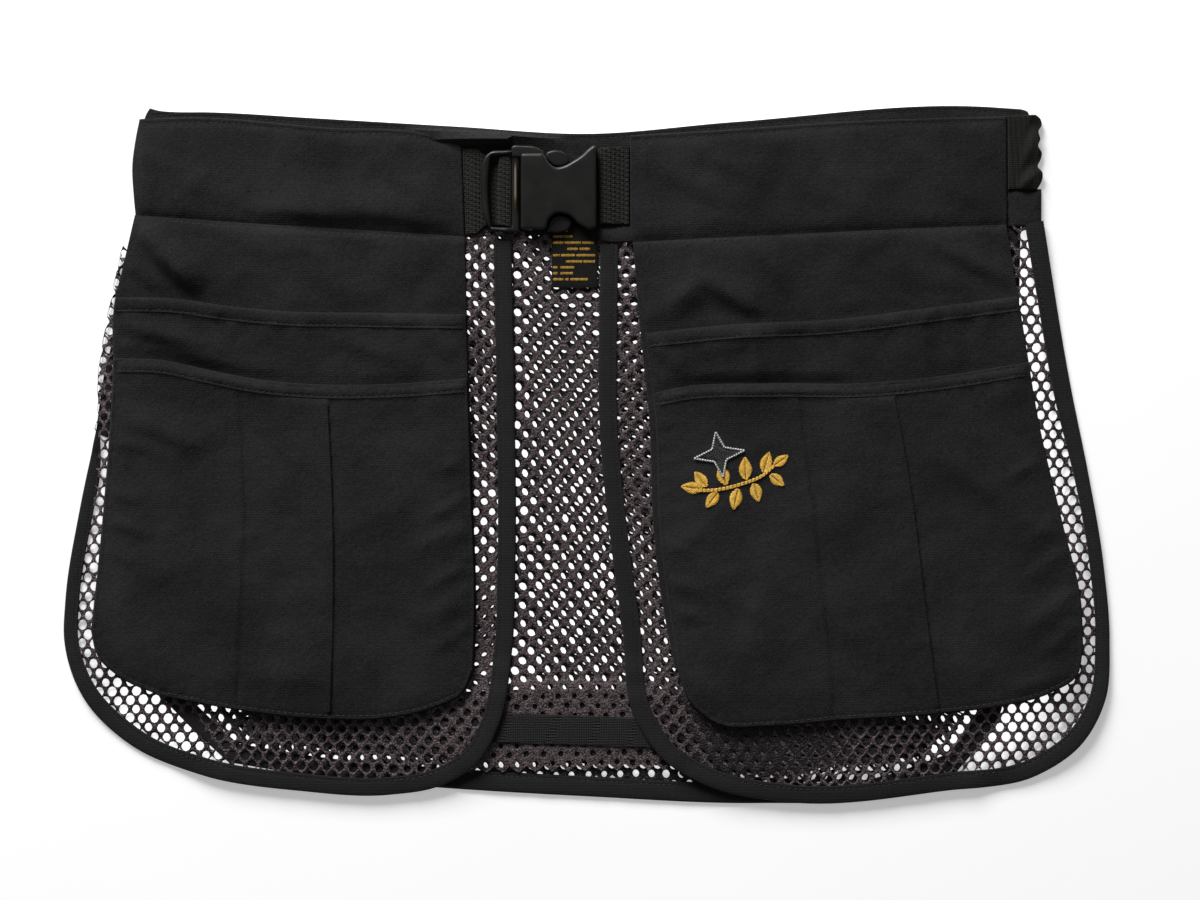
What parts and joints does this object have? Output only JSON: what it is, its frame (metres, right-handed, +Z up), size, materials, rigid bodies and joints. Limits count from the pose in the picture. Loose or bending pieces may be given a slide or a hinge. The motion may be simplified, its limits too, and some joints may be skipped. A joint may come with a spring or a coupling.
{
  "type": "shooting vest",
  "caption": "Waist-length net shooting vest laid flat, with a fastened waist buckle, bound open fronts, layered pleated cartridge pockets and a rear game pouch.",
  "frame": {"origin": "centre of the vest's bounding box at the surface that it lies on", "axes": "+X across the vest towards the wearer's left side as seen in the picture's right, +Y from the hem up to the waistband, +Z up out of the surface"},
  "size_m": [0.5535, 0.3693, 0.0123],
  "materials": {
    "net": "satin",
    "cloth": "matte",
    "binding": "matte",
    "webbing": "matte",
    "label": "satin",
    "buckle": "satin"
  },
  "bodies": {
    "root": {"back_panel": "net", "back_binding": "binding", "back_waistband": "cloth", "pouch_net": "net", "pouch_strip": "cloth", "pouch_tape": "webbing", "care_label": "label", "left_net": "net", "left_binding": "binding", "left_yoke": "cloth", "left_upper_pocket": "cloth", "left_lower_pocket": "cloth", "left_waistband": "cloth", "right_net": "net", "right_binding": "binding", "right_yoke": "cloth", "right_upper_pocket": "cloth", "right_lower_pocket": "cloth", "right_waistband": "cloth", "side_webbing": "webbing", "left_webbing": "webbing", "right_webbing": "webbing", "buckle_male": "buckle", "buckle_female": "buckle", "buckle_arm_top": "buckle", "buckle_arm_bottom": "buckle"}
  },
  "joints": []
}
